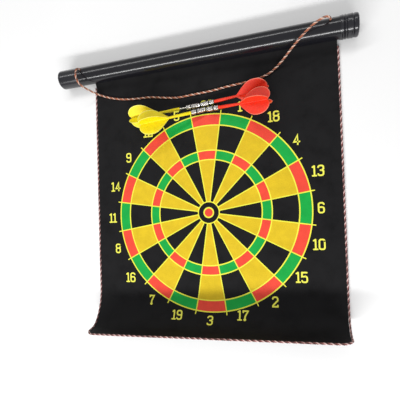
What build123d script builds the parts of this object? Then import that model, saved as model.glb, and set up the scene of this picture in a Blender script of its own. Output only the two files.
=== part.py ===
"""Roll-up magnetic dartboard with its four darts, lying flat. Millimetres.

The origin is under the bull on the board's back face: +X right, +Y to the roller tube,
+Z out of the printed face.
"""

from build123d import *
from math import cos, radians, sin, tan
import os

# The board: a flexible laminate, flat from the tube down to the curl at its free end.
HALF_WIDTH = 184.0
BACK_T = 0.4
CORE_T = 1.0
FRONT_T = 0.4
BOARD_T = BACK_T + CORE_T + FRONT_T
RISE_START_Y = 205.0  # where the sheet starts to rise into the tube
RISE_R = 30.0
RISE_ANGLE = 25.0
HEM_RUN = 10.0  # the straight run from the rise into the hem rod
CURL_START_Y = -115.0
CURL_RUNS = (31.0, 21.0, 18.0, 16.0)  # lengths along the back face, down to the free edge
LEFT_TURNS = (21.0, 14.0, 45.0, 0.0)  # the angle that each run turns at the left side
RIGHT_TURNS = (12.0, 50.0, 28.0, 0.0)
CORNER_R = 14.0
CUT_MARGIN = 1.0

# The roller tube along the top edge.
TUBE_R = 13.6
TUBE_WALL = 1.6
CAP_R = 14.3
CAP_FIT = 0.05
TUBE_Y = 229.5
TUBE_Z = CAP_R
TUBE_LEFT = -237.0
TUBE_RIGHT = 206.0
CAP_END = 3.0  # thickness of a cap's closed end
LEFT_CAP_LENGTH = 31.0
RIGHT_CAP_LENGTH = 19.0
CAP_ROUND = 2.4
RIB_OFFSETS = (14.0, 17.2)  # groove centres from the right cap's outer end
RIB_GROOVE = 1.2
SLOT_WIDTH = 3.4
SLOT_MARGIN = 1.5  # how far the slot runs past the sheet's sides
HEM_ROD_R = 4.5
HEM_GRIP = 3.5  # how deep the sheet sits in the hem rod

# The two cords.
TRIM_D = 2.8
TRIM_LIFT = 1.5  # height of the trim's centre above the back face
CORD_D = 3.0
HOLE_D = 3.8
KNOT_R = 3.1
KNOT_TOP_Z = 21.8
LEFT_HOLE_X = -199.0
RIGHT_HOLE_X = 175.5
HOLE_Y = 236.5  # the holes are behind the top of the tube
ON_BOARD = BOARD_T + CORD_D / 2 + 0.1  # height of a cord's centre where it lies on the board

# The darts, measured along the axis from the magnet.
MAGNET_R = 3.1
MAGNET_T = 2.4
BARREL_R = 3.6
BARREL_END = 21.0
GROOVE_AT = 13.2
GROOVE_W = 1.1
GROOVE_R = 2.7
STEM_R = 1.15
STEM_IN_BARREL = 7.0
STEM_IN_SHAFT = 12.0
SHAFT_LENGTH = 33.0
SHAFT_R = 2.4
SHAFT_NECK_R = 1.7
SPINE_END_R = 1.0
VANE_T = 0.8
VANE_R = 18.5
VANE_NOTCH = 42.5
VANE_END = 46.0
NOSE_Z = BOARD_T + BARREL_R + 0.2
LYING_PITCH = 6.8
PROPPED_PITCH = 17.5
STEEP_PITCH = 19.0

# Each dart: nose x and y, heading of the tail, pitch, roll of the vanes, stem left bare.
DARTS = {
    "yellow_front": (0.6, 151.6, 192.0, PROPPED_PITCH, 0.0, 0.0),
    "yellow_rear": (-7.0, 159.2, 185.5, LYING_PITCH, 45.0, 10.0),
    "red_front": (3.2, 151.2, -5.5, STEEP_PITCH, 0.0, 0.0),
    "red_rear": (-5.2, 159.4, 2.5, LYING_PITCH, 45.0, 0.0),
}

# The hanging cord, from the left hole, over the tube's front, across the board and back up.
CORD_ROUTE = [
    (LEFT_HOLE_X, HOLE_Y, KNOT_TOP_Z),
    (LEFT_HOLE_X, HOLE_Y, 31.0),
    (-199.0, 229.5, 36.4),
    (-198.4, 219.5, 37.6),
    (-196.4, 210.6, 33.6),
    (-192.8, 206.6, 24.0),
    (-186.4, 203.6, 12.4),
    (-175.6, 198.8, ON_BOARD),
    (-159.0, 192.6, ON_BOARD),
    (-138.0, 187.0, ON_BOARD),
    (-112.0, 184.4, ON_BOARD),
    (-88.0, 183.8, ON_BOARD),
    (-65.0, 179.2, ON_BOARD),
    (-41.0, 175.8, ON_BOARD),
    (-17.0, 177.6, ON_BOARD),
    (9.0, 178.2, ON_BOARD),
    (35.0, 181.6, ON_BOARD),
    (60.0, 183.0, ON_BOARD),
    (82.0, 185.8, ON_BOARD),
    (97.5, 191.4, ON_BOARD),
    (108.5, 199.6, 5.4),
    (118.0, 205.6, 12.8),
    (126.0, 209.2, 24.0),
    (136.0, 214.6, 33.6),
    (148.0, 223.6, 37.6),
    (160.0, 231.6, 38.4),
    (170.6, 236.0, 36.4),
    (RIGHT_HOLE_X, HOLE_Y, 29.8),
    (RIGHT_HOLE_X, HOLE_Y, KNOT_TOP_Z),
]
CORD_TOLERANCE = 0.01  # the most by which the tube's volume may differ from section times length

os.makedirs("parts", exist_ok=True)


def save(piece, label):
    """Name a finished piece and write its STEP."""
    piece.part.label = label
    export_step(piece.part, f"parts/{label}.step")


# ---- The laminated board ----


def sheet_face(lift, turns):
    """Draw one face of the sheet in the YZ plane, from the hem rod to the free edge."""
    flat_start = (RISE_START_Y, lift)
    curl_start = (CURL_START_Y, lift)
    rise = JernArc(flat_start, (1, 0), RISE_R - lift, RISE_ANGLE)
    hem = PolarLine(rise @ 1, HEM_RUN, direction=rise % 1)
    run = Line(flat_start, curl_start)
    for length, turn in zip(CURL_RUNS, turns):
        if turn:
            run = JernArc(run @ 1, run % 1, length / radians(turn) - lift, -turn)
        else:
            run = PolarLine(run @ 1, length, direction=run % 1)
    return hem @ 1, run @ 1


def on_curl(turns, along, lift):
    """A point of a side's curl in the YZ plane, from its distance along the back face."""
    y, z, heading = CURL_START_Y, 0.0, 0.0
    for length, turn in zip(CURL_RUNS, turns):
        part = min(max(along, 0.0), length)
        along -= part
        after = heading + radians(turn) * part / length
        chord = part * sin((after - heading) / 2) / ((after - heading) / 2) if after > heading else part
        y -= chord * cos((heading + after) / 2)
        z += chord * sin((heading + after) / 2)
        heading = after
    y -= along * cos(heading)
    z += along * sin(heading)
    return Vector(0, y + lift * sin(heading), z + lift * cos(heading))


def on_sheet(x, along, lift):
    """A point of the curled end, between the curls of its left and right sides."""
    share = (x + HALF_WIDTH) / (2 * HALF_WIDTH)
    left = on_curl(LEFT_TURNS, along, lift)
    right = on_curl(RIGHT_TURNS, along, lift)
    return Vector(x, 0, 0) + left * (1 - share) + right * share


def cut_corner(side):
    """Round the free corner at one side, which lies in the last, straight run."""
    edge = sum(CURL_RUNS)
    tip = on_sheet(side * HALF_WIDTH, edge, BOARD_T / 2)
    inward = (on_sheet(0, edge, BOARD_T / 2) - tip).normalized()
    back = (on_sheet(side * HALF_WIDTH, edge - CORNER_R, BOARD_T / 2) - tip).normalized()
    with BuildSketch(Plane(origin=tip, x_dir=inward, z_dir=inward.cross(back))) as corner:
        with Locations((-CUT_MARGIN, -CUT_MARGIN)):
            Rectangle(CORNER_R + CUT_MARGIN, CORNER_R + CUT_MARGIN, align=Align.MIN)
        with Locations((CORNER_R, CORNER_R)):
            Circle(CORNER_R, mode=Mode.SUBTRACT)
    extrude(corner.sketch, amount=2 * BOARD_T, both=True, mode=Mode.SUBTRACT)


def make_sheet(label, low, high):
    """One layer of the laminate, between two heights above the back face."""
    with BuildPart() as sheet:
        for side_x, turns in ((-HALF_WIDTH, LEFT_TURNS), (HALF_WIDTH, RIGHT_TURNS)):
            with BuildSketch(Plane.YZ.offset(side_x)):
                with BuildLine():
                    low_hem, low_tip = sheet_face(low, turns)
                    high_hem, high_tip = sheet_face(high, turns)
                    Line(low_hem, high_hem)
                    Line(low_tip, high_tip)
                make_face()
        loft(ruled=True)
        cut_corner(-1)
        cut_corner(1)
    save(sheet, label)


make_sheet("back_sheet", 0, BACK_T)
make_sheet("magnetic_core", BACK_T, BACK_T + CORE_T)
make_sheet("front_sheet", BACK_T + CORE_T, BOARD_T)


# ---- The hem rod and the tube, which hold the board's top edge ----

rise_rad = radians(RISE_ANGLE)
run_dir = Vector(0, cos(rise_rad), sin(rise_rad))
mid_r = RISE_R - BOARD_T / 2
run_start = Vector(0, RISE_START_Y + mid_r * sin(rise_rad), RISE_R - mid_r * cos(rise_rad))
hem_end = run_start + run_dir * HEM_RUN
hem_axis = hem_end + run_dir * (HEM_ROD_R - HEM_GRIP)
tube_centre = Vector(0, TUBE_Y, TUBE_Z)


def run_plane(centre):
    """The YZ plane turned so that its local x runs along the sheet where it enters the tube."""
    return Plane(origin=centre, x_dir=run_dir, z_dir=(1, 0, 0))


with BuildPart() as hem_rod:
    with BuildSketch(run_plane(hem_axis)):
        Circle(HEM_ROD_R)
        with Locations((HEM_GRIP / 2 - HEM_ROD_R, 0)):
            Rectangle(HEM_GRIP, BOARD_T, mode=Mode.SUBTRACT)
    extrude(amount=HALF_WIDTH - 1, both=True)
save(hem_rod, "hem_rod")


def wall_distance(radius):
    """How far along the sheet's run it meets a circle about the tube's axis."""
    to_axis = tube_centre - run_start
    along = to_axis.dot(run_dir)
    aside = (to_axis - run_dir * along).length
    return along - (radius**2 - aside**2) ** 0.5


outer_at = wall_distance(TUBE_R)
inner_at = wall_distance(TUBE_R - TUBE_WALL)
slot_centre = run_start + run_dir * ((outer_at + inner_at) / 2)

with BuildPart() as roller_tube:
    with BuildSketch(Plane.YZ.offset(TUBE_LEFT)):
        with Locations((TUBE_Y, TUBE_Z)):
            Circle(TUBE_R)
            Circle(TUBE_R - TUBE_WALL, mode=Mode.SUBTRACT)
    extrude(amount=TUBE_RIGHT - TUBE_LEFT)
    with BuildSketch(run_plane(slot_centre)):
        Rectangle(inner_at - outer_at + 2 * TUBE_WALL, SLOT_WIDTH)
    extrude(amount=HALF_WIDTH + SLOT_MARGIN, both=True, mode=Mode.SUBTRACT)
    with BuildSketch(Plane.XY.offset(TUBE_Z)):
        with Locations((LEFT_HOLE_X, HOLE_Y), (RIGHT_HOLE_X, HOLE_Y)):
            Circle(HOLE_D / 2)
    extrude(amount=CAP_R, mode=Mode.SUBTRACT)
save(roller_tube, "roller_tube")


def make_cap(label, end_x, side, length, grooves=()):
    """A push-on cup cap. end_x is the tube's end and side is -1 at the left."""
    outward = Plane(origin=(end_x, TUBE_Y, TUBE_Z), x_dir=(0, 1, 0), z_dir=(side, 0, 0))
    with BuildPart() as cap:
        with BuildSketch(outward.offset(CAP_END)):
            Circle(CAP_R)
        extrude(amount=-(CAP_END + length))
        fillet(cap.faces().sort_by(Axis.X)[0 if side < 0 else -1].edges(), CAP_ROUND)
        with BuildSketch(outward):
            Circle(TUBE_R + CAP_FIT)
        extrude(amount=-length, mode=Mode.SUBTRACT)
        for offset_in in grooves:
            with BuildSketch(outward.offset(CAP_END - offset_in - RIB_GROOVE / 2)):
                Circle(CAP_R)
                Circle(CAP_R - (CAP_R - TUBE_R) / 2, mode=Mode.SUBTRACT)
            extrude(amount=RIB_GROOVE, mode=Mode.SUBTRACT)
    save(cap, label)


make_cap("end_cap_left", TUBE_LEFT, -1, LEFT_CAP_LENGTH)
make_cap("end_cap_right", TUBE_RIGHT, 1, RIGHT_CAP_LENGTH, RIB_OFFSETS)


# ---- The cord sewn round the board's three free edges ----


def corner_radii(route):
    """The largest radius that each corner of a route allows, as 0.45 of its shorter run."""
    radii = []
    for before, here, after in zip(route, route[1:], route[2:]):
        run_in = Vector(*here) - Vector(*before)
        run_out = Vector(*after) - Vector(*here)
        half_turn = radians(run_in.get_angle(run_out)) / 2
        radii.append(0.45 * min(run_in.length, run_out.length) / tan(half_turn))
    return radii


def make_cord(label, route, diameter):
    """A round cord along a route, with each of the route's corners rounded."""
    radii = corner_radii(route)
    with BuildPart() as cord:
        with BuildLine() as path:
            FilletPolyline(*route, radius=radii)
        with BuildSketch(Plane(origin=path.line @ 0, z_dir=path.line % 0)) as section:
            Circle(diameter / 2)
        sweep(section.sketch, path=path.line)
    length = path.wires()[0].length
    ratio = cord.part.volume / (length * section.sketch.area)
    print(label, "length", round(length, 1), "mm, smallest radius", round(min(radii), 1), "mm")
    assert abs(ratio - 1) < CORD_TOLERANCE
    save(cord, label)


trim_x = HALF_WIDTH + TRIM_D / 2
TRIM_RISE = 15.0  # how far round the rise the trim starts
CURL_STEPS = 5
CORNER_STEPS = 6


def half_trim(side):
    """The trim's route down one side of the board and round its corner."""
    x = side * trim_x
    angle = radians(TRIM_RISE)
    rise_r = RISE_R - TRIM_LIFT
    route = [
        Vector(x, RISE_START_Y + rise_r * sin(angle), RISE_R - rise_r * cos(angle)),
        Vector(x, RISE_START_Y + rise_r * tan(angle / 2), TRIM_LIFT),
    ]
    to_corner = sum(CURL_RUNS) - CORNER_R
    for i in range(CURL_STEPS):
        route.append(on_sheet(x, to_corner * i / CURL_STEPS, TRIM_LIFT))
    step = radians(90 / CORNER_STEPS)
    reach = (CORNER_R + TRIM_D / 2) / cos(step / 2)
    for i in range(CORNER_STEPS):
        turn = (i + 0.5) * step
        corner_x = side * (HALF_WIDTH - CORNER_R + reach * cos(turn))
        route.append(on_sheet(corner_x, to_corner + reach * sin(turn), TRIM_LIFT))
    return route


make_cord("edge_cord", half_trim(-1) + half_trim(1)[::-1], TRIM_D)


# ---- The hanging cord and the knots that hold its ends inside the tube ----


make_cord("hanging_cord", CORD_ROUTE, CORD_D)

for label, hole_x in (("cord_knot_left", LEFT_HOLE_X), ("cord_knot_right", RIGHT_HOLE_X)):
    with BuildPart() as knot:
        with Locations((hole_x, HOLE_Y, KNOT_TOP_Z - KNOT_R + 0.4)):
            Sphere(KNOT_R)
        split(bisect_by=Plane.XY.offset(KNOT_TOP_Z), keep=Keep.BOTTOM)
    save(knot, label)


# ---- The darts ----


def dart_plane(nose_x, nose_y, heading, pitch, roll):
    """The plane of two of a dart's vanes: local x runs from the nose to the tail."""
    h, p = radians(heading), radians(pitch)
    along = Vector(cos(p) * cos(h), cos(p) * sin(h), sin(p))
    upward = Vector(-sin(p) * cos(h), -sin(p) * sin(h), cos(p))
    normal = upward.rotate(Axis((0, 0, 0), along), roll)
    return Plane(origin=(nose_x, nose_y, NOSE_Z), x_dir=along, z_dir=normal)


def turned(plane, *outline):
    """Revolve an outline of (distance, radius) points round the dart's axis."""
    with BuildSketch(plane) as half:
        with BuildLine():
            Polyline((outline[0][0], 0), *outline, (outline[-1][0], 0), close=True)
        make_face()
    revolve(half.sketch, axis=Axis(plane.origin, plane.x_dir))


def vane_pair(plane, start):
    """Two opposite vanes: a heart outline, straight at the front and notched at the end."""
    with BuildSketch(plane) as pair:
        with BuildLine():
            edge = Line((start, 0.8), (start + 12, 11.2))
            lobe = Spline(
                edge @ 1,
                (start + 20, 16.6),
                (start + 29, VANE_R),
                (start + 38, 17.0),
                (start + 44.4, 11.6),
                (start + VANE_END, 6.0),
                tangents=[edge % 1, (-0.2, -1)],
            )
            notch = Spline(
                lobe @ 1,
                (start + VANE_NOTCH, 0),
                tangents=[(-0.2, -1), (-1, -0.35)],
            )
            Line(notch @ 1, (start, 0))
            Line((start, 0), edge @ 0)
        make_face()
        mirror(about=Plane.XZ)
    extrude(pair.sketch, amount=VANE_T / 2, both=True)


def make_dart(name, nose_x, nose_y, heading, pitch, roll, bare):
    """The four pieces of one dart. bare is how much stem shows before the shaft."""
    place = (nose_x, nose_y, heading, pitch)
    plane = dart_plane(*place, roll)
    shaft_at = BARREL_END + bare
    vane_at = shaft_at + SHAFT_LENGTH

    with BuildPart() as magnet:
        turned(plane, (0, MAGNET_R - 0.5), (0.5, MAGNET_R), (MAGNET_T, MAGNET_R))
    save(magnet, f"{name}_magnet")

    with BuildPart() as barrel:
        turned(
            plane,
            (MAGNET_T, BARREL_R - 0.4),
            (MAGNET_T + 0.4, BARREL_R),
            (GROOVE_AT - GROOVE_W / 2, BARREL_R),
            (GROOVE_AT - GROOVE_W / 2, GROOVE_R),
            (GROOVE_AT + GROOVE_W / 2, GROOVE_R),
            (GROOVE_AT + GROOVE_W / 2, BARREL_R),
            (BARREL_END - 0.8, BARREL_R),
            (BARREL_END, BARREL_R - 0.8),
        )
        with BuildSketch(Plane(origin=plane.origin, z_dir=plane.x_dir).offset(BARREL_END)):
            Circle(STEM_R)
        extrude(amount=-STEM_IN_BARREL, mode=Mode.SUBTRACT)
    save(barrel, f"{name}_barrel")

    with BuildPart() as stem:
        turned(
            plane,
            (BARREL_END - STEM_IN_BARREL, STEM_R),
            (shaft_at + STEM_IN_SHAFT, STEM_R),
        )
    save(stem, f"{name}_stem")

    with BuildPart() as flight:
        turned(
            plane,
            (shaft_at, SHAFT_R - 0.3),
            (shaft_at + 1, SHAFT_R),
            (shaft_at + STEM_IN_SHAFT + 2, SHAFT_R - 0.1),
            (vane_at, SHAFT_NECK_R),
            (vane_at + VANE_NOTCH, SPINE_END_R),
        )
        for quarter in (0, 90):
            vane_pair(dart_plane(*place, roll + quarter), vane_at)
        with BuildSketch(Plane(origin=plane.origin, z_dir=plane.x_dir).offset(shaft_at)):
            Circle(STEM_R)
        extrude(amount=STEM_IN_SHAFT, mode=Mode.SUBTRACT)
    save(flight, f"{name}_flight")


for name, numbers in DARTS.items():
    make_dart(name, *numbers)
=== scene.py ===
"""Looks of the roll-up magnetic dartboard: printed sheet, twisted cords, tube and darts."""

import math

import bmesh
import bpy
import numpy as np
from mathutils import Matrix, Vector


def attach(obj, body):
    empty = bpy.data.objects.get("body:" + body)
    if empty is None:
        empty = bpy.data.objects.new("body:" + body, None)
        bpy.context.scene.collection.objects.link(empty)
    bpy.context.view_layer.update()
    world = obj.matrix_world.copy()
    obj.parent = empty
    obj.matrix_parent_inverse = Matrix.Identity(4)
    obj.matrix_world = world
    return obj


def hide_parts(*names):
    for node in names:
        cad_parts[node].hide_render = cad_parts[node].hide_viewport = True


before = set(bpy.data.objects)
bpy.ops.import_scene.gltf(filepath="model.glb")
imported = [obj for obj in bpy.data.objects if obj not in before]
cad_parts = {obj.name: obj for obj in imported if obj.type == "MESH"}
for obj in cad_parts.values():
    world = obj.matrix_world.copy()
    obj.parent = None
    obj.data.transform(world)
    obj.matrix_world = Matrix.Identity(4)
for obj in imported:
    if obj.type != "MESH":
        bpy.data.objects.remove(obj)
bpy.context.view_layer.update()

MM = 0.001

# ---------------------------------------------------------------- camera and stage

CAMERA_AT = Vector((138.6, -25.0, 489.7)) * MM
CAMERA_LOOK = Vector((-0.2983, 0.0228, -0.9542))
CAMERA_UP = Vector((0.0369, 0.9992, 0.0124))
CAMERA_LENS = 31.06
CAMERA_SHIFT = 0.055


def make_camera():
    """The photograph's view."""
    data = bpy.data.cameras.new("camera")
    data.sensor_width = 36.0
    data.lens = CAMERA_LENS
    data.shift_y = CAMERA_SHIFT
    data.clip_start, data.clip_end = 0.01, 20.0
    camera = bpy.data.objects.new("camera", data)
    back = -CAMERA_LOOK.normalized()
    right = CAMERA_UP.cross(back).normalized()
    up = back.cross(right)
    camera.matrix_world = Matrix.Translation(CAMERA_AT) @ Matrix((right, up, back)).transposed().to_4x4()
    bpy.context.collection.objects.link(camera)
    bpy.context.scene.camera = camera


make_camera()

# ---------------------------------------------------------------- sizes, in millimetres

HALF_WIDTH = 184.0
BACK_T, CORE_T, FRONT_T = 0.4, 1.0, 0.4
BOARD_T = BACK_T + CORE_T + FRONT_T
RISE_START, RISE_R, RISE_ANGLE = 205.0, 30.0, math.radians(25)
HEM_RUN = 10.0
CURL_START = -115.0
CURL_RUNS = (31.0, 21.0, 18.0, 16.0)  # lengths down the curl to the free edge
LEFT_TURNS = (21.0, 14.0, 45.0, 0.0)  # how far each run turns at the left side
RIGHT_TURNS = (12.0, 50.0, 28.0, 0.0)
CORNER_R = 14.0
TRIM_D, TRIM_LIFT = 2.8, 1.5
V_TIP = CURL_START - sum(CURL_RUNS)  # the free edge, along the sheet
V_HEM = RISE_START + RISE_R * RISE_ANGLE + HEM_RUN  # the edge in the hem rod


def on_curl(turns, along, h):
    """Where one side's curl is, as y and z, at a distance down it and a height above its back."""
    y, z, heading = CURL_START, 0.0, 0.0
    for length, turn in zip(CURL_RUNS, turns):
        part = min(max(along, 0.0), length)
        along -= part
        half = math.radians(turn) * part / length / 2
        chord = part * math.sin(half) / half if half else part
        y -= chord * math.cos(heading + half)
        z += chord * math.sin(heading + half)
        heading += 2 * half
    y -= along * math.cos(heading)
    z += along * math.sin(heading)
    return y + h * math.sin(heading), z + h * math.cos(heading)


def on_board(u, v, h):
    """The place of a point of the flat sheet: u across, v up the sheet, h above its back."""
    if v > RISE_START:
        turn = min((v - RISE_START) / RISE_R, RISE_ANGLE)
        run = v - RISE_START - turn * RISE_R
        y = RISE_START + (RISE_R - h) * math.sin(turn) + run * math.cos(turn)
        z = RISE_R - (RISE_R - h) * math.cos(turn) + run * math.sin(turn)
    elif v >= CURL_START:
        y, z = v, h
    else:
        share = (u + HALF_WIDTH) / (2 * HALF_WIDTH)
        left = on_curl(LEFT_TURNS, CURL_START - v, h)
        right = on_curl(RIGHT_TURNS, CURL_START - v, h)
        y, z = (a * (1 - share) + b * share for a, b in zip(left, right))
    return Vector((u, y, z)) * MM


# ---------------------------------------------------------------- mesh helpers


def new_object(name, verts, faces, materials, face_slots=None):
    """A mesh object with smooth faces, and a material slot for each face if they are given."""
    mesh = bpy.data.meshes.new(name)
    mesh.from_pydata([tuple(v) for v in verts], [], faces)
    for material in materials:
        mesh.materials.append(material)
    if face_slots is not None:
        mesh.polygons.foreach_set("material_index", face_slots)
    mesh.polygons.foreach_set("use_smooth", [True] * len(mesh.polygons))
    mesh.validate()
    mesh.update()
    obj = bpy.data.objects.new(name, mesh)
    bpy.context.collection.objects.link(obj)
    return obj


def recalculate(obj):
    """Turn every face of a closed mesh outwards."""
    bm = bmesh.new()
    bm.from_mesh(obj.data)
    bmesh.ops.recalc_face_normals(bm, faces=bm.faces)
    bm.to_mesh(obj.data)
    bm.free()


def sharpen(obj, angle=40):
    """Mark the edges as sharp where the faces turn by more than an angle."""
    obj.data.set_sharp_from_angle(angle=math.radians(angle))


class Builder:
    """Collects vertices and faces of one mesh, each face with a material slot."""

    def __init__(self):
        self.verts, self.faces, self.slots = [], [], []

    def grid(self, rows, slot=0, close_u=False, close_v=False, edge_columns=0):
        """Faces between rows of points, each row the same length; the last columns take the next slot."""
        first, n, m = len(self.verts), len(rows), len(rows[0])
        for row in rows:
            self.verts += row
        for i in range(n if close_v else n - 1):
            for j in range(m if close_u else m - 1):
                a, b = first + i * m, first + ((i + 1) % n) * m
                self.faces.append((a + j, a + (j + 1) % m, b + (j + 1) % m, b + j))
                self.slots.append(slot + 1 if j >= m - 1 - edge_columns else slot)
        return first

    def fan(self, ring, slot=0):
        """One face that closes a ring of vertex indices."""
        self.faces.append(tuple(ring))
        self.slots.append(slot)

    def wall(self, top, base, columns, rows, slot=0):
        """Joins the outer edges of two grids of the same size, given by their first vertices."""
        edge = list(range(columns))
        edge += [i * columns + columns - 1 for i in range(1, rows)]
        edge += [(rows - 1) * columns + j for j in range(columns - 2, -1, -1)]
        edge += [i * columns for i in range(rows - 2, 0, -1)]
        for a, b in zip(edge, edge[1:] + edge[:1]):
            self.fan((top + a, top + b, base + b, base + a), slot)

    def close_ends(self, first, rows, sides, slot=0):
        """Closes both ends of a grid that goes round, given by its first vertex."""
        last = first + (rows - 1) * sides
        self.fan([first + k for k in reversed(range(sides))], slot)
        self.fan([last + k for k in range(sides)], slot)

    def move(self, place):
        self.verts = [place @ v for v in self.verts]

    def build(self, name, materials):
        return new_object(name, self.verts, self.faces, materials, self.slots)


# ---------------------------------------------------------------- materials


class Shader:
    """A node material, with short calls for what the materials below share."""

    def __init__(self, name, roughness=0.5, **inputs):
        self.material = bpy.data.materials.new(name)
        self.material.use_nodes = True
        self.nodes = self.material.node_tree.nodes
        self.links = self.material.node_tree.links
        self.bsdf = self.nodes["Principled BSDF"]
        self.bsdf.inputs["Roughness"].default_value = roughness
        for key, value in inputs.items():
            self.bsdf.inputs[key.replace("_", " ")].default_value = value
        self.place = self.nodes.new("ShaderNodeTexCoord").outputs["Object"]
        self.height = None

    def node(self, kind, **values):
        node = self.nodes.new(kind)
        for key, value in values.items():
            if isinstance(value, bpy.types.NodeSocket):
                self.links.new(value, node.inputs[key.replace("_", " ")])
            elif hasattr(node, key):
                setattr(node, key, value)
            else:
                node.inputs[key.replace("_", " ")].default_value = value
        return node

    def noise(self, scale, detail, stretch=(1, 1, 1)):
        mapped = self.node("ShaderNodeMapping", Vector=self.place, Scale=stretch)
        noise = self.node(
            "ShaderNodeTexNoise",
            Vector=mapped.outputs[0], Scale=scale, Detail=detail, Roughness=NOISE_ROUGHNESS,
        )
        return noise.outputs["Fac"]

    def wave(self, scale, direction):
        wave = self.node("ShaderNodeTexWave", Vector=self.place, Scale=scale, bands_direction=direction)
        return wave.outputs["Fac"]

    def math(self, operation, *values):
        node = self.nodes.new("ShaderNodeMath")
        node.operation = operation
        for socket, value in zip(node.inputs, values):
            if isinstance(value, bpy.types.NodeSocket):
                self.links.new(value, socket)
            else:
                socket.default_value = value
        return node.outputs[0]

    def ramp(self, fac, *stops):
        """A colour for each position of a factor."""
        node = self.nodes.new("ShaderNodeValToRGB")
        self.links.new(fac, node.inputs["Fac"])
        elements = node.color_ramp.elements
        while len(elements) < len(stops):
            elements.new(0.5)
        for element, (position, colour) in zip(elements, stops):
            element.position = position
            element.color = (*colour, 1)
        return node.outputs["Color"]

    def colour(self, socket):
        self.links.new(socket, self.bsdf.inputs["Base Color"])

    def vary_roughness(self, noise, spread, least):
        """Roughness from a least value upwards, by a noise."""
        self.links.new(self.math("MULTIPLY_ADD", noise, spread, least), self.bsdf.inputs["Roughness"])

    def bump(self, height, distance, strength=1.0):
        """Relief on top of the relief so far, its distance in metres."""
        node = self.node("ShaderNodeBump", Height=height, Distance=distance, Strength=strength)
        if self.height is not None:
            self.links.new(self.height, node.inputs["Normal"])
        self.height = node.outputs["Normal"]
        self.links.new(self.height, self.bsdf.inputs["Normal"])


NOISE_ROUGHNESS = 0.55
WAVES = 14  # the scale of the noise that makes the sheet's broad soft waves
WAVE_HEIGHT = 0.006
WEAVE = 420  # the scale of the sheet's threads


def shade(colour, factor):
    return tuple(min(1.0, c * factor) for c in colour)


def cloth_print(name, colour, spread=0.10):
    """Ink on the sheet's fine weave: slightly mottled colour over a woven bump."""
    s = Shader(name, Specular_IOR_Level=0.2)
    mottle = s.math("MULTIPLY", s.noise(90, 4), s.noise(1400, 2))
    s.colour(s.ramp(mottle, (0.12, shade(colour, 1 - spread)), (0.42, shade(colour, 1 + spread))))
    s.vary_roughness(s.noise(500, 3), 0.25, 0.38)
    weave = s.math("MULTIPLY", s.wave(WEAVE, "X"), s.wave(WEAVE, "Y"))
    s.bump(weave, 0.00005, 0.5)
    s.bump(s.noise(160, 4), 0.00012, 0.4)
    s.bump(s.noise(WAVES, 2), WAVE_HEIGHT)
    return s.material


def black_cloth(name, colour):
    """The sheet's black ground: matt, with a short nap that catches grazing light."""
    s = Shader(name, 0.7, Specular_IOR_Level=0.1)
    mottle = s.math("ADD", s.noise(45, 4), s.noise(1800, 2))
    s.colour(s.ramp(mottle, (0.7, shade(colour, 0.75)), (1.3, shade(colour, 1.4))))
    s.bump(s.noise(1500, 3), 0.00008, 0.6)
    s.bump(s.noise(60, 3), 0.0003, 0.25)
    s.bump(s.noise(WAVES, 2), WAVE_HEIGHT)
    return s.material


def plastic(name, colour, roughness, coat=0.0, stretch=(1, 1, 1)):
    """Hard plastic or rubber, with faint marks that a stretch below 1 draws out lengthways."""
    s = Shader(name, Coat_Weight=coat, Coat_Roughness=0.08, IOR=1.5)
    s.colour(s.ramp(s.noise(120, 4, stretch), (0.3, shade(colour, 0.95)), (0.7, shade(colour, 1.05))))
    s.vary_roughness(s.noise(260, 5, stretch), 0.16, roughness - 0.06)
    s.bump(s.noise(700, 3, stretch), 0.00001, 0.6)
    return s.material


def moulded(name, colour):
    """Thin soft plastic, which lets some light through and is a little glossy."""
    s = Shader(name, 0.42, Specular_IOR_Level=0.3, Subsurface_Weight=0.25, Subsurface_Scale=0.0008)
    s.bsdf.inputs["Subsurface Radius"].default_value = (1.0, 0.8, 0.3)
    s.colour(s.ramp(s.noise(140, 4), (0.3, shade(colour, 0.93)), (0.7, shade(colour, 1.05))))
    s.bump(s.noise(900, 3), 0.00002, 0.6)
    return s.material


def metal(name, colour, roughness, stretch=(1, 1, 1)):
    """Bright metal with fine handling marks."""
    s = Shader(name, Metallic=1.0)
    s.colour(s.ramp(s.noise(900, 4, stretch), (0.3, shade(colour, 0.86)), (0.7, shade(colour, 1.06))))
    s.vary_roughness(s.noise(1800, 4, stretch), 0.25, roughness - 0.1)
    s.bump(s.noise(2700, 2, stretch), 0.00001, 0.5)
    return s.material


def yarn(name, colour, spread=0.18):
    """Spun fibre: fine streaks of lighter and darker thread."""
    s = Shader(name, 0.8, Sheen_Weight=0.3, Sheen_Roughness=0.5)
    fibres = s.noise(3800, 3)
    s.colour(s.ramp(fibres, (0.3, shade(colour, 1 - spread)), (0.7, shade(colour, 1 + spread))))
    s.bump(fibres, 0.00012, 0.8)
    return s.material


# Colours are linear.
BLACK_INK = (0.0088, 0.0086, 0.0092)
GOLD_INK = (0.75, 0.525, 0.017)
WIRE_INK = (0.92, 0.90, 0.075)
RED_INK = (0.88, 0.075, 0.045)
GREEN_INK = (0.008, 0.40, 0.060)
NUMBER_INK = (0.92, 0.90, 0.11)

ground = black_cloth("ground_cloth", BLACK_INK)
gold = cloth_print("gold_ink", GOLD_INK)
wire = cloth_print("wire_ink", WIRE_INK, 0.06)
red = cloth_print("red_ink", RED_INK)
green = cloth_print("green_ink", GREEN_INK)
numbers = cloth_print("number_ink", NUMBER_INK, 0.06)
core = plastic("magnetic_rubber", (0.02, 0.02, 0.02), 0.8)
backing = black_cloth("backing_cloth", (0.02, 0.02, 0.022))
tube_black = plastic("tube_black", (0.009, 0.009, 0.012), 0.16, stretch=(0.08, 1, 1))
cap_black = plastic("cap_black", (0.010, 0.010, 0.014), 0.22, 0.3)
hidden_black = plastic("hidden_black", (0.02, 0.02, 0.02), 0.6)
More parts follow.
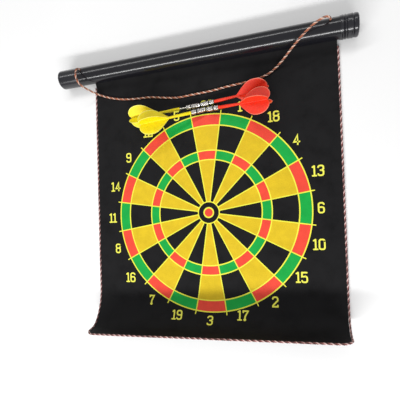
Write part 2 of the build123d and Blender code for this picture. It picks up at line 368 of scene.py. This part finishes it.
# A flight's material and its rim's, which is lighter: a painted highlight along the moulded edge.
YELLOW_FLIGHT = [moulded("flight_yellow", (1.0, 0.78, 0.006)), moulded("rim_painted_highlight_yellow", (1.0, 0.90, 0.16))]
RED_FLIGHT = [moulded("flight_red", (0.88, 0.043, 0.015)), moulded("rim_painted_highlight_red", (0.95, 0.20, 0.13))]
barrel_metal = metal("barrel_metal", (0.58, 0.56, 0.53), 0.26)
groove_painted_shade = metal("groove_painted_shade", (0.05, 0.05, 0.05), 0.5)  # painted shade: the groove's shadow, as a dark metal
stem_metal = metal("stem_metal", (0.80, 0.76, 0.68), 0.25, stretch=(0.1, 1, 1))
magnet_metal = metal("magnet_metal", (0.66, 0.66, 0.67), 0.22)
cream_yarn = yarn("cream_yarn", (0.86, 0.60, 0.48))
clay_yarn = yarn("clay_yarn", (0.42, 0.15, 0.08))
rust_yarn = yarn("rust_yarn", (0.46, 0.12, 0.04))
dark_yarn = yarn("dark_yarn", (0.045, 0.012, 0.012))
pink_yarn = yarn("pink_yarn", (0.30, 0.09, 0.08))
pale_pink_yarn = yarn("pale_pink_yarn", (0.80, 0.55, 0.52))

# ---------------------------------------------------------------- cords


def spline_points(route):
    """Points along the smooth NURBS line through a route's control points, in metres."""
    curve = bpy.data.curves.new("route", "CURVE")
    curve.dimensions = "3D"
    curve.resolution_u = 24
    spline = curve.splines.new("NURBS")
    spline.points.add(len(route) - 1)
    for point, place in zip(spline.points, route):
        point.co = (*place, 1)
    spline.order_u = 3
    spline.use_endpoint_u = True
    holder = bpy.data.objects.new("route", curve)
    mesh = bpy.data.meshes.new_from_object(holder)
    points = [v.co.copy() for v in mesh.vertices]
    bpy.data.meshes.remove(mesh)
    bpy.data.objects.remove(holder)
    bpy.data.curves.remove(curve)
    return points


def even_points(points, step):
    """The line again, with points a step apart."""
    line = np.array([tuple(p) for p in points])
    along = np.concatenate([[0], np.cumsum(np.linalg.norm(np.diff(line, axis=0), axis=1))])
    at = np.linspace(0, along[-1], max(2, int(along[-1] / step) + 1))
    return [Vector(p) for p in np.stack([np.interp(at, along, line[:, k]) for k in range(3)], axis=1)]


def frames_along(line):
    """A pair of cross directions at each point of a line, turning as little as they can."""
    pairs = []
    side = None
    for i in range(len(line)):
        ahead = (line[min(i + 1, len(line) - 1)] - line[max(i - 1, 0)]).normalized()
        if side is None:
            side = ahead.orthogonal().normalized()
        side = (side - ahead * side.dot(ahead)).normalized()
        pairs.append((side, ahead.cross(side)))
    return pairs


def tube(builder, line, radius, sides, slot):
    """A closed round tube along a line."""
    rows = []
    for here, (a, b) in zip(line, frames_along(line)):
        turns = [2 * math.pi * k / sides for k in range(sides)]
        rows.append([here + (a * math.cos(t) + b * math.sin(t)) * radius for t in turns])
    first = builder.grid(rows, slot, close_u=True)
    builder.close_ends(first, len(rows), sides, slot)


def twisted(name, points, strands, pitch, materials, step, sides):
    """A laid cord and its centre line. A strand is (phase in turns, lay radius, strand radius, slot)."""
    line = even_points(points, step)
    pairs = frames_along(line)
    builder = Builder()
    for phase, lay, radius, slot in strands:
        path = []
        for i, (here, (a, b)) in enumerate(zip(line, pairs)):
            turn = 2 * math.pi * (phase + i * step / pitch)
            path.append(here + (a * math.cos(turn) + b * math.sin(turn)) * lay)
        tube(builder, path, radius, sides, slot)
    return builder.build(name, materials), line


# The cord's route is in metres.
TUBE_Y = 0.2295
HOLE_Y = 0.2365  # the cord's holes are behind the top of the tube
KNOT_TOP_Z = 0.0218
LEFT_HOLE_X = -0.199
RIGHT_HOLE_X = 0.1755
LIES_AT = 0.0034  # the cord's centre where it lies on the board

CORD_ROUTE = [
    (LEFT_HOLE_X, HOLE_Y, KNOT_TOP_Z),
    (LEFT_HOLE_X, HOLE_Y, 0.0310),
    (-0.1990, 0.2295, 0.0364),
    (-0.1984, 0.2195, 0.0376),
    (-0.1964, 0.2106, 0.0336),
    (-0.1928, 0.2066, 0.0240),
    (-0.1864, 0.2036, 0.0124),
    (-0.1756, 0.1988, LIES_AT),
    (-0.1590, 0.1926, LIES_AT),
    (-0.1380, 0.1870, LIES_AT),
    (-0.1120, 0.1844, LIES_AT),
    (-0.0880, 0.1838, LIES_AT),
    (-0.0650, 0.1792, LIES_AT),
    (-0.0410, 0.1758, LIES_AT),
    (-0.0170, 0.1776, LIES_AT),
    (0.0090, 0.1782, LIES_AT),
    (0.0350, 0.1816, LIES_AT),
    (0.0600, 0.1830, LIES_AT),
    (0.0820, 0.1858, LIES_AT),
    (0.0975, 0.1914, LIES_AT),
    (0.1085, 0.1996, 0.0054),
    (0.1180, 0.2056, 0.0128),
    (0.1260, 0.2092, 0.0240),
    (0.1360, 0.2146, 0.0336),
    (0.1480, 0.2236, 0.0376),
    (0.1600, 0.2316, 0.0384),
    (0.1706, 0.2360, 0.0364),
    (RIGHT_HOLE_X, HOLE_Y, 0.0298),
    (RIGHT_HOLE_X, HOLE_Y, KNOT_TOP_Z),
]


def make_hanging_cord():
    points = spline_points(CORD_ROUTE)
    cord, line = twisted(
        "hanging_cord_laid",
        points,
        strands=[
            (0.00, 0.00072, 0.00078, 0),
            (0.50, 0.00072, 0.00078, 1),
            (0.25, 0.00092, 0.00046, 2),
            (0.75, 0.00092, 0.00046, 3),
        ],
        pitch=0.0090,
        materials=[cream_yarn, clay_yarn, rust_yarn, dark_yarn],
        step=0.0009,
        sides=7,
    )
    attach(cord, "board")
    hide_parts("hanging_cord")


TRIM_RISE = math.radians(15)  # how far up the sheet's rise the edge cord begins
SIDE_STEPS, CORNER_STEPS = 220, 10


def edge_line():
    """The line of the sewn edge cord: down the left side, along the free edge and up the right."""
    out = HALF_WIDTH + TRIM_D / 2
    start = RISE_START + RISE_R * TRIM_RISE
    corner_v = V_TIP + CORNER_R
    reach = CORNER_R + TRIM_D / 2
    left = [(-out, start + (corner_v - start) * i / SIDE_STEPS) for i in range(SIDE_STEPS + 1)]
    turns = [math.pi / 2 * i / CORNER_STEPS for i in range(1, CORNER_STEPS + 1)]
    corner = [
        (-(HALF_WIDTH - CORNER_R) - reach * math.cos(t), corner_v - reach * math.sin(t)) for t in turns
    ]
    half = left + corner
    return [on_board(u, v, TRIM_LIFT) for u, v in half + [(-u, v) for u, v in reversed(half)]]


def make_edge_cord():
    trim, _ = twisted(
        "edge_cord_laid",
        edge_line(),
        strands=[
            (0.00, 0.00064, 0.00074, 0),
            (0.36, 0.00064, 0.00074, 1),
            (0.70, 0.00070, 0.00068, 2),
        ],
        pitch=0.0082,
        materials=[pale_pink_yarn, pink_yarn, dark_yarn],
        step=0.0010,
        sides=6,
    )
    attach(trim, "board")
    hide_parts("edge_cord")


make_hanging_cord()
make_edge_cord()

# ---------------------------------------------------------------- the laminated sheet


SHEET_COLUMNS = 92


def sheet_rows():
    """Positions up the sheet, close together where it bends and at its corners."""
    corner = [V_TIP + CORNER_R * (1 - math.cos(math.pi / 2 * i / 8)) for i in range(9)]
    curl = list(np.linspace(corner[-1], CURL_START, 46)[1:])
    flat = list(np.linspace(CURL_START, RISE_START, 82)[1:])
    rise = list(np.linspace(RISE_START, V_HEM, 14)[1:])
    return corner + curl + flat + rise


def half_width_at(v):
    """Half the sheet's width, less towards its rounded free corners."""
    deep = max(0.0, V_TIP + CORNER_R - v)
    return HALF_WIDTH - CORNER_R + math.sqrt(max(CORNER_R**2 - deep**2, 0.0))


def sheet_level(h):
    """Rows of points over the whole sheet, at one height above its back."""
    shares = [2 * j / SHEET_COLUMNS - 1 for j in range(SHEET_COLUMNS + 1)]
    return [[on_board(half_width_at(v) * share, v, h) for share in shares] for v in sheet_rows()]


def make_layer(name, low, high, material):
    """One layer of the laminate as a closed skin between two heights."""
    builder = Builder()
    top = builder.grid(sheet_level(high))
    bottom = builder.grid(sheet_level(low))
    builder.wall(top, bottom, SHEET_COLUMNS + 1, len(sheet_rows()))
    layer = builder.build(f"{name}_skin", [material])
    recalculate(layer)
    sharpen(layer, 50)
    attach(layer, "board")
    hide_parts(name)


make_layer("back_sheet", 0.0, BACK_T, backing)
make_layer("magnetic_core", BACK_T, BACK_T + CORE_T, core)
make_layer("front_sheet", BACK_T + CORE_T, BOARD_T, ground)

# ---------------------------------------------------------------- the printed target

NUMBERS = (20, 1, 18, 4, 13, 6, 10, 15, 2, 17, 3, 19, 7, 16, 8, 11, 14, 9, 12, 5)
SECTOR = 360 / len(NUMBERS)
TICK_R = 151.0
DOUBLE_OUT, DOUBLE_IN = 145.4, 128.8
TREBLE_OUT, TREBLE_IN = 92.0, 78.1
OUTER_BULL, INNER_BULL, BULL_PINHOLE = 16.0, 7.1, 0.12
BULL_RING_W = 2.0
WIRE_W = 1.7
SPOKE_W = 1.5
NUMBER_R = 160.0
INK_UP = 0.06  # how far the flat colours stand on the sheet
INK_DOWN = 0.05  # how far all the ink goes into it
WIRE_UP = 0.12
SPOKE_UP = 0.14
NUMBER_UP = 0.10


def slab(builder, rows, height, close=False):
    """A thin raised patch of ink: rows of flat (u, v) points, lifted onto the board."""
    top = [[on_board(u, v, BOARD_T + height) for u, v in row] for row in rows]
    foot = [[on_board(u, v, BOARD_T - INK_DOWN) for u, v in row] for row in rows]
    first = builder.grid(top, close_v=close)
    base = builder.grid(foot, close_v=close)
    m, n = len(rows[0]), len(rows)
    if close:
        for edge in (0, m - 1):
            for i in range(n):
                a, b = i * m + edge, ((i + 1) % n) * m + edge
                builder.fan((first + a, first + b, base + b, base + a))
        return
    builder.wall(first, base, m, n)


def polar(radius, bearing):
    """A flat point from its distance to the bull and its bearing from the top, clockwise."""
    t = math.radians(bearing)
    return (radius * math.sin(t), radius * math.cos(t))


def arc_patch(builder, r_in, r_out, start, end, height, radial, around):
    """A piece of a ring between two radii and two bearings."""
    rows = []
    for i in range(around + 1):
        bearing = start + (end - start) * i / around
        rows.append([polar(r_in + (r_out - r_in) * j / radial, bearing) for j in range(radial + 1)])
    slab(builder, rows, height)


def full_ring(builder, radius, width, height, around=240):
    """A whole ring, by its middle radius."""
    rows = []
    for i in range(around):
        bearing = 360 * i / around
        rows.append([polar(radius - width / 2, bearing), polar(radius + width / 2, bearing)])
    slab(builder, rows, height, close=True)


def finish_print(builder, name, material):
    piece = builder.build(name, [material])
    recalculate(piece)
    sharpen(piece, 50)
    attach(piece, "board")


def make_target():
    """The coloured beds: gold sectors, red and green rings, and the red bull."""
    beds = {"gold": Builder(), "red": Builder(), "green": Builder()}
    for k in range(len(NUMBERS)):
        start, end = SECTOR * (k - 0.5), SECTOR * (k + 0.5)
        bright = k % 2 == 0
        rings = beds["red"] if bright else beds["green"]
        arc_patch(rings, DOUBLE_IN, DOUBLE_OUT, start, end, INK_UP, 4, 9)
        arc_patch(rings, TREBLE_IN, TREBLE_OUT, start, end, INK_UP, 3, 9)
        if bright:
            arc_patch(beds["gold"], OUTER_BULL, TREBLE_IN, start, end, INK_UP, 12, 9)
            arc_patch(beds["gold"], TREBLE_OUT, DOUBLE_IN, start, end, INK_UP, 10, 9)
    disc = [[polar(r, 360 * i / 48) for r in (BULL_PINHOLE, INNER_BULL)] for i in range(48)]
    slab(beds["red"], disc, INK_UP, close=True)
    inks = {"gold": gold, "red": red, "green": green}
    for name, builder in beds.items():
        finish_print(builder, f"{name}_beds", inks[name])


def make_wires():
    """The yellow lines: rings, and spokes that end in ticks outside the double ring."""
    builder = Builder()
    for radius in (DOUBLE_OUT, DOUBLE_IN, TREBLE_OUT, TREBLE_IN):
        full_ring(builder, radius, WIRE_W, WIRE_UP)
    full_ring(builder, OUTER_BULL, SPOKE_W, WIRE_UP, 72)
    full_ring(builder, INNER_BULL, BULL_RING_W, WIRE_UP, 48)
    for k in range(len(NUMBERS)):
        t = math.radians(SECTOR * (k + 0.5))
        along, aside = Vector((math.sin(t), math.cos(t))), Vector((math.cos(t), -math.sin(t)))
        rows = []
        for r in np.linspace(OUTER_BULL, TICK_R, 41):
            rows.append([tuple(along * r + aside * s) for s in (-SPOKE_W / 2, SPOKE_W / 2)])
        slab(builder, rows, SPOKE_UP)
    finish_print(builder, "target_wires", wire)


make_target()
make_wires()

# ---------------------------------------------------------------- numbers round the target

DIGIT_W, DIGIT_H = 8.9, 15.2
ONE_W = 5.6
STROKE = 2.15
DIGIT_GAP = 1.1
DIGIT_R = 2.4  # of the rounded corners
STROKE_LIFT = 0.012  # of each further stroke, so that crossing strokes never share a face


def arc(cx, cy, rx, ry, start, end, n):
    """Points of an arc in n steps, in degrees anticlockwise from the right."""
    turns = [math.radians(start + (end - start) * i / n) for i in range(n + 1)]
    return [(cx + rx * math.cos(t), cy + ry * math.sin(t)) for t in turns]


def digit_strokes(digit):
    """The strokes of a digit as centre lines, w wide and top high, from its lower left."""
    w, top = DIGIT_W - STROKE, DIGIT_H - STROKE
    mid = top * 0.53
    r = DIGIT_R
    shapes = {
        "0": [arc(w - r, top - r, r, r, 0, 90, 4) + arc(r, top - r, r, r, 90, 180, 4)
              + arc(r, r, r, r, 180, 270, 4) + arc(w - r, r, r, r, 270, 360, 4) + [(w, top - r)]],
        "1": [[(ONE_W / 2 - 0.9, 0), (ONE_W / 2 - 0.9, top)],
              [(ONE_W / 2 - 3.2, top - 1.4), (ONE_W / 2 - 0.9, top)],
              [(-0.5, 0), (ONE_W - 1.4, 0)]],
        "2": [arc(r + 0.2, top - r, r + 0.2, r, 180, 90, 4) + arc(w - r, top - r, r, r, 90, 0, 4)
              + [(w, mid + 1.4), (w * 0.55, mid - 1.6), (0.3, 1.6), (0.0, 0.0), (w, 0.0)],
              [(w, 0.0), (w, 1.8)]],
        "3": [arc(r, top - r, r, r, 170, 90, 4) + arc(w - r, top - r, r, r, 90, 0, 4)
              + [(w, mid + 1.6), (w - 2.2, mid)],
              [(w - 2.2, mid), (w, mid - 1.6)] + arc(w - r, r, r, r, 0, -90, 4)
              + arc(r, r, r, r, 270, 190, 4),
              [(w - 3.6, mid), (w - 2.2, mid)]],
        "4": [[(w - 1.7, 0), (w - 1.7, top), (0, 3.6), (w + 0.6, 3.6)]],
        "5": [[(w - 0.3, top), (0.2, top), (0.0, mid + 0.6), (w - r, mid + 0.9)]
              + arc(w - r, mid - r + 0.9, r, r, 90, 0, 4) + arc(w - r, r, r, r, 0, -90, 4)
              + arc(r, r, r, r, 270, 190, 4)],
        "6": [arc(w - r, top - r, r, r, 10, 90, 4) + arc(r, top - r, r, r, 90, 180, 4)
              + arc(r, r, r, r, 180, 270, 4) + arc(w - r, r, r, r, 270, 360, 4)
              + arc(w - r, mid - r + 0.4, r, r, 0, 90, 4) + [(0.2, mid + 0.4)]],
        "7": [[(0, top - 1.8), (0, top), (w, top), (w * 0.42, mid - 1.4), (w * 0.36, 1.0)],
              arc(w * 0.36, 0.6, 0.9, 0.9, 0, 300, 6)],
        "8": [arc(w - r, top - r, r, r, 0, 90, 4) + arc(r, top - r, r, r, 90, 180, 4)
              + [(0.1, mid + 1.5), (1.4, mid), (w - 1.4, mid), (w - 0.1, mid + 1.5), (w, top - r)],
              [(1.4, mid), (0, mid - 1.5)] + arc(r, r, r, r, 180, 270, 4)
              + arc(w - r, r, r, r, 270, 360, 4) + [(w, mid - 1.5), (w - 1.4, mid)]],
        "9": [arc(r, r, r, r, 190, 270, 4) + arc(w - r, r, r, r, 270, 360, 4)
              + arc(w - r, top - r, r, r, 0, 90, 4) + arc(r, top - r, r, r, 90, 180, 4)
              + arc(r, mid + r - 0.4, r, r, 180, 270, 4) + [(w - 0.2, mid - 0.4)]],
    }
    return shapes[digit]


def stroke_patches(points, width):
    """Offsets both sides of a centre line, with mitred corners, as rows of two points."""
    line = [Vector(p) for p in points]
    rows = []
    for i, here in enumerate(line):
        before = (here - line[i - 1]).normalized() if i else None
        after = (line[i + 1] - here).normalized() if i < len(line) - 1 else None
        ahead = before if after is None else after if before is None else (before + after)
        if ahead.length < 0.2:
            ahead = before
        ahead = ahead.normalized()
        aside = Vector((-ahead.y, ahead.x))
        stretch = 1.0 if before is None or after is None else 1 / max(0.55, before.dot(ahead))
        rows.append((here + aside * width / 2 * stretch, here - aside * width / 2 * stretch))
    return rows


def refine(rows, step=2.0):
    """More rows where two are far apart, so that a stroke can follow the sheet's curl."""
    fine = [rows[0]]
    for (a0, b0), (a1, b1) in zip(rows, rows[1:]):
        n = max(1, math.ceil((a1 - a0).length / step), math.ceil((b1 - b0).length / step))
        fine += [(a0.lerp(a1, i / n), b0.lerp(b1, i / n)) for i in range(1, n + 1)]
    return fine


def round_dot(builder, place, height):
    """A round end for a stroke."""
    rows = [[place + Vector((math.cos(t), math.sin(t))) * r for r in (0.1, STROKE / 2)]
            for t in (2 * math.pi * k / 12 for k in range(12))]
    slab(builder, [[tuple(p) for p in row] for row in rows], height, close=True)


# How far right of and above its place on an even circle each number is printed.
OFF_CIRCLE = {
    20: (2.4, -1.0), 1: (2.0, -1.8), 18: (4.5, 0.5), 4: (-1.8, 0.0), 13: (2.0, 0.0), 6: (-3.7, -0.5),
    15: (-1.3, 0.4), 2: (-2.5, 1.5), 17: (-2.5, 3.5), 3: (-0.6, 1.6), 19: (-2.3, 0.4), 7: (-0.5, -1.0),
    16: (-1.2, -2.2), 8: (0.2, -1.0), 11: (0.0, -1.5), 14: (-1.2, -1.0), 9: (0.5, -1.2), 5: (3.4, -3.0),
}


def make_numbers():
    """The sectors' numbers, upright, round the target."""
    builder = Builder()
    for k, number in enumerate(NUMBERS):
        across, up = OFF_CIRCLE.get(number, (0.0, 0.0))
        cx, cy = Vector(polar(NUMBER_R, SECTOR * k)) + Vector((across, up))
        text = str(number)
        widths = [ONE_W if d == "1" else DIGIT_W for d in text]
        left = cx - (sum(widths) + DIGIT_GAP * (len(text) - 1)) / 2
        for digit, width in zip(text, widths):
            corner = Vector((left + STROKE / 2, cy - DIGIT_H / 2 + STROKE / 2))
            for s, points in enumerate(digit_strokes(digit)):
                rows = refine(stroke_patches(points, STROKE))
                height = NUMBER_UP + STROKE_LIFT * s
                slab(builder, [[tuple(corner + a), tuple(corner + b)] for a, b in rows], height)
                for end in (points[0], points[-1]):
                    round_dot(builder, corner + Vector(end), height + STROKE_LIFT / 2)
            left += width + DIGIT_GAP
    finish_print(builder, "target_numbers", numbers)


make_numbers()

# ---------------------------------------------------------------- tube, caps, hidden pieces

for node, material in {
    "roller_tube": tube_black,
    "hem_rod": hidden_black,
    "cord_knot_left": cream_yarn,
    "cord_knot_right": cream_yarn,
}.items():
    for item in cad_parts[node].material_slots:
        item.material = material

CAP_R, CAP_BORE_R, TUBE_Z = 14.3, 13.65, 14.3
CAP_ROUND = 2.4
LEFT_CAP = (-240.0, 34.0)  # a cap's outer end and its whole length
RIGHT_CAP = (209.0, 22.0)
RIBS_AT = (6.0, 14.0, 17.2)  # the right cap's grooves, from its outer end


def make_cap(node, outer_x, length, side, ribs=()):
    """A push-on cap: rounded end, faint grip rings, turned grooves and a lip."""
    sides = 96
    edge = [CAP_ROUND * (1 - math.cos(math.radians(a))) for a in range(0, 91, 15)]
    rim = [CAP_R - CAP_ROUND * (1 - math.sin(math.radians(a))) for a in range(0, 91, 15)]
    profile = [(0.35, 0.2), (0.35, 8.6), (0.0, 9.4)] + list(zip(edge, rim))
    steps = int((length - CAP_ROUND) / 0.3)
    for i in range(1, steps + 1):
        x = CAP_ROUND + (length - CAP_ROUND) * i / steps
        dip = max((math.exp(-((x - at) / 0.55) ** 2) for at in ribs), default=0.0)
        bead = max((math.exp(-((x - at - 1.6) / 0.8) ** 2) for at in ribs), default=0.0)
        profile.append((x, CAP_R - 0.75 * dip + 0.35 * bead))
    profile += [(length, CAP_BORE_R + 0.1), (length - 0.3, CAP_BORE_R), (length - 4, CAP_BORE_R)]
    rows = []
    for x, r in profile:
        rows.append([
            Vector((outer_x - side * x, TUBE_Y / MM + r * math.cos(t), TUBE_Z + r * math.sin(t))) * MM
            for t in (2 * math.pi * k / sides for k in range(sides))
        ])
    builder = Builder()
    first = builder.grid(rows, close_u=True)
    builder.close_ends(first, len(rows), sides)
    cap = builder.build(f"{node}_turned", [cap_black])
    recalculate(cap)
    sharpen(cap, 35)
    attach(cap, "board")
    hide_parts(node)


make_cap("end_cap_left", *LEFT_CAP, -1)
make_cap("end_cap_right", *RIGHT_CAP, 1, RIBS_AT)

# ---------------------------------------------------------------- darts

MAGNET_T = 2.4
BARREL_R, BARREL_END = 3.6, 21.0
GROOVE_AT, GROOVE_W, GROOVE_R = 13.2, 1.7, 2.7
KNURLS, KNURL_PITCH, KNURL_DEPTH = 6, 2.6, 0.48  # cuts each way round, their pitch and depth
PLAIN_END = 1.2  # of a barrel, without knurling
SHAFT_LENGTH = 33.0
SHAFT_R, NECK_R, SPINE_END_R = 2.4, 1.7, 1.0
STEM_IN_SHAFT = 12.0
VANE_T, VANE_R = 0.8, 18.5
RIB_PITCH, RIB_SLANT = 1.9, 0.35
RIM_W = 1.0
VANE_NOTCH, VANE_END = 42.5, 46.0
NOSE_Z = BOARD_T + BARREL_R + 0.2

# Each dart's nose, x and y, its heading, pitch and roll in degrees, and its bare length of stem.
DARTS = {
    "yellow_front": (0.6, 151.6, 192.0, 17.5, 0.0, 0.0),
    "yellow_rear": (-7.0, 159.2, 185.5, 6.8, 45.0, 10.0),
    "red_front": (3.2, 151.2, -5.5, 19.0, 0.0, 0.0),
    "red_rear": (-5.2, 159.4, 2.5, 6.8, 45.0, 0.0),
}


def dart_matrix(nose_x, nose_y, heading, pitch, roll):
    """The dart's own frame: x from the nose to the tail, y and z in the planes of its vanes."""
    h, p = math.radians(heading), math.radians(pitch)
    along = Vector((math.cos(p) * math.cos(h), math.cos(p) * math.sin(h), math.sin(p)))
    upward = Vector((-math.sin(p) * math.cos(h), -math.sin(p) * math.sin(h), math.cos(p)))
    upward.rotate(Matrix.Rotation(math.radians(roll), 3, along))
    aside = upward.cross(along)
    place = Matrix((along, aside, upward)).transposed().to_4x4()
    return Matrix.Translation(Vector((nose_x, nose_y, NOSE_Z)) * MM) @ place @ Matrix.Scale(MM, 4)


def turned_rows(profile, sides):
    """Rows of points of a turned shape in the dart's frame, from (distance, radius) pairs."""
    turns = [2 * math.pi * k / sides for k in range(sides)]
    return [[Vector((x, r * math.cos(t), r * math.sin(t))) for t in turns] for x, r in profile]


def barrel_radius(x):
    """The barrel's outline: rounded ends and a deep groove between two grip bands."""
    inside = min(x - MAGNET_T, BARREL_END - x)
    radius = BARREL_R - max(0.0, 0.8 - inside) * 0.7
    if abs(x - GROOVE_AT) < GROOVE_W / 2:
        radius = GROOVE_R
    return radius


def make_barrel(name, place):
    """A turned barrel whose two bands are cut with crossed knurling."""
    sides, length = 60, BARREL_END - MAGNET_T
    steps = 120
    rows = []
    for i in range(steps + 1):
        x = MAGNET_T + length * i / steps
        base = barrel_radius(x)
        from_groove = abs(x - GROOVE_AT) - GROOVE_W / 2 - 0.5
        inside = min(from_groove, x - MAGNET_T - PLAIN_END, BARREL_END - PLAIN_END - x)
        depth = KNURL_DEPTH * min(max(inside / 0.4, 0), 1)
        row = []
        for k in range(sides):
            t = 2 * math.pi * k / sides
            lay = 2 * math.pi * x / KNURL_PITCH
            cut = max(abs(math.sin(KNURLS * t + lay)), abs(math.sin(KNURLS * t - lay)))
            r = base - depth * (1 - cut)
            row.append(Vector((x, r * math.cos(t), r * math.sin(t))))
        rows.append(row)
    builder = Builder()
    first = builder.grid(rows, close_u=True)
    # Faces in the groove take the dark metal, painted shade for the shadow in the groove.
    for i in range(steps):
        middle = MAGNET_T + length * (i + 0.5) / steps
        if abs(middle - GROOVE_AT) < GROOVE_W / 2:
            builder.slots[i * sides:(i + 1) * sides] = [1] * sides
    builder.close_ends(first, len(rows), sides)
    builder.move(place)
    barrel = builder.build(f"{name}_barrel_knurled", [barrel_metal, groove_painted_shade])
    recalculate(barrel)
    sharpen(barrel, 35)
    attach(barrel, f"{name}_dart")
    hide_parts(f"{name}_barrel")


VANE_OUTLINE = np.array([
    (0.0, 1.2), (4.0, 4.4), (8.0, 7.9), (12.0, 11.2), (16.0, 14.2), (20.0, 16.6), (24.5, 18.1),
    (29.0, VANE_R), (33.5, 18.2), (38.0, 17.0), (41.6, 14.8), (44.4, 11.6), (45.8, 8.6),
    (VANE_END, 6.0), (45.4, 3.6), (44.0, 1.8), (VANE_NOTCH + 0.1, 0.9),
])


def vane_edge(f):
    """A point of a vane's outline, from its front (0) round its lobe to its notch (1)."""
    steps = np.linalg.norm(np.diff(VANE_OUTLINE, axis=0), axis=1)
    along = np.concatenate([[0], np.cumsum(steps)]) / steps.sum()
    return Vector([np.interp(f, along, VANE_OUTLINE[:, k]) for k in range(2)])


def vane_height(x, r, rim):
    """Half the vane's thickness: fine slanting ribs, and a raised edge at a distance of rim."""
    rib = 0.5 + 0.5 * math.cos(2 * math.pi * (x + RIB_SLANT * r) / RIB_PITCH)
    edge = min(max((RIM_W - rim) / RIM_W, 0.0), 1.0)
    return VANE_T / 2 * (0.62 + 0.30 * rib * (1 - edge) + 0.38 * edge)


SHAFT_SIDES = 28
RIM_HIGHLIGHT_COLUMNS = 2  # the columns of a vane's grid that take the rim's lighter material, a painted highlight
ROUNDED_EDGE = 0.45  # the share of a vane's thickness that is left at its very edge


def make_flight(name, place, bare, materials):
    """The moulded shaft and its four ribbed vanes, as one piece."""
    shaft_at = BARREL_END + bare
    vane_at = shaft_at + SHAFT_LENGTH
    builder = Builder()
    profile = [
        (shaft_at, SHAFT_R - 0.35), (shaft_at + 0.4, SHAFT_R - 0.1), (shaft_at + 1.0, SHAFT_R),
        (shaft_at + 2.2, SHAFT_R), (shaft_at + 2.6, SHAFT_R - 0.25), (shaft_at + 3.2, SHAFT_R - 0.25),
        (shaft_at + 3.6, SHAFT_R), (shaft_at + STEM_IN_SHAFT + 2, SHAFT_R - 0.1),
        (shaft_at + STEM_IN_SHAFT + 9, NECK_R + 0.25), (vane_at - 2, NECK_R + 0.05),
        (vane_at, NECK_R), (vane_at + 12, 1.45), (vane_at + 30, 1.15),
        (vane_at + VANE_NOTCH, SPINE_END_R), (vane_at + VANE_NOTCH + 0.5, 0.6),
    ]
    rows = turned_rows(profile, SHAFT_SIDES)
    first = builder.grid(rows, close_u=True)
    builder.close_ends(first, len(rows), SHAFT_SIDES)
    around, across = 110, 34
    for quarter in range(4):
        t = quarter * math.pi / 2
        out = Vector((0, math.cos(t), math.sin(t)))
        side = Vector((0, -math.sin(t), math.cos(t)))
        levels = {1: [], -1: []}
        for i in range(around + 1):
            edge = vane_edge(i / around)
            root = Vector((min(edge.x, VANE_NOTCH * i / around), 0.5))
            for sign, level in levels.items():
                row = []
                for j in range(across + 1):
                    p = root.lerp(edge, j / across)
                    half = vane_height(p.x, p.y, (edge - p).length)
                    if j == across:
                        half *= ROUNDED_EDGE
                    row.append(Vector((vane_at + p.x, 0, 0)) + out * p.y + side * half * sign)
                level.append(row)
        # The edge columns and the edge walls take the rim's lighter material, a painted highlight along
        # the edge.
        top = builder.grid(levels[1], edge_columns=RIM_HIGHLIGHT_COLUMNS)
        base = builder.grid(levels[-1], edge_columns=RIM_HIGHLIGHT_COLUMNS)
        builder.wall(top, base, across + 1, around + 1, slot=1)
    builder.move(place)
    flight = builder.build(f"{name}_flight_ribbed", materials)
    recalculate(flight)
    sharpen(flight, 40)
    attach(flight, f"{name}_dart")
    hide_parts(f"{name}_flight")


for name, (nose_x, nose_y, heading, pitch, roll, bare) in DARTS.items():
    place = dart_matrix(nose_x, nose_y, heading, pitch, roll)
    make_barrel(name, place)
    make_flight(name, place, bare, YELLOW_FLIGHT if name.startswith("yellow") else RED_FLIGHT)
    for node, material in ((f"{name}_magnet", magnet_metal), (f"{name}_stem", stem_metal)):
        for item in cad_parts[node].material_slots:
            item.material = material

# ---------------------------------------------------------------- floor and light


def make_floor():
    """A white table top, just under the part."""
    s = Shader("floor_white", 0.8)
    s.colour(s.ramp(s.noise(3, 2), (0.3, (0.93, 0.93, 0.93)), (0.7, (0.95, 0.95, 0.95))))
    size = 3.0
    floor = new_object(
        "floor",
        [(-size, -size, 0), (size, -size, 0), (size, size, 0), (-size, size, 0)],
        [(0, 1, 2, 3)],
        [s.material],
    )
    floor.location.z = -0.0002


def area_light(name, place, target, size, power):
    """A rectangular light that faces a target, in metres and watts."""
    data = bpy.data.lights.new(name, "AREA")
    data.shape = "RECTANGLE"
    data.size, data.size_y = size
    data.energy = power
    light = bpy.data.objects.new(name, data)
    light.location = place
    light.rotation_mode = "QUATERNION"
    light.rotation_quaternion = (Vector(target) - Vector(place)).to_track_quat("-Z", "Y")
    bpy.context.collection.objects.link(light)


def make_light():
    """An even white room, a long strip in front and a weaker one behind."""
    world = bpy.data.worlds.new("studio")
    world.use_nodes = True
    world.node_tree.nodes["Background"].inputs["Color"].default_value = (1, 1, 1, 1)
    world.node_tree.nodes["Background"].inputs["Strength"].default_value = 0.42
    bpy.context.scene.world = world
    area_light("key", (-0.2, -1.25, 1.0), (-0.1, 0, 0), (2.1, 0.16), 29)
    area_light("rim", (-0.3, 0.9, 1.1), (0, 0.1, 0), (1.6, 0.12), 6)


make_floor()
make_light()
bpy.context.scene.view_settings.view_transform = "Standard"
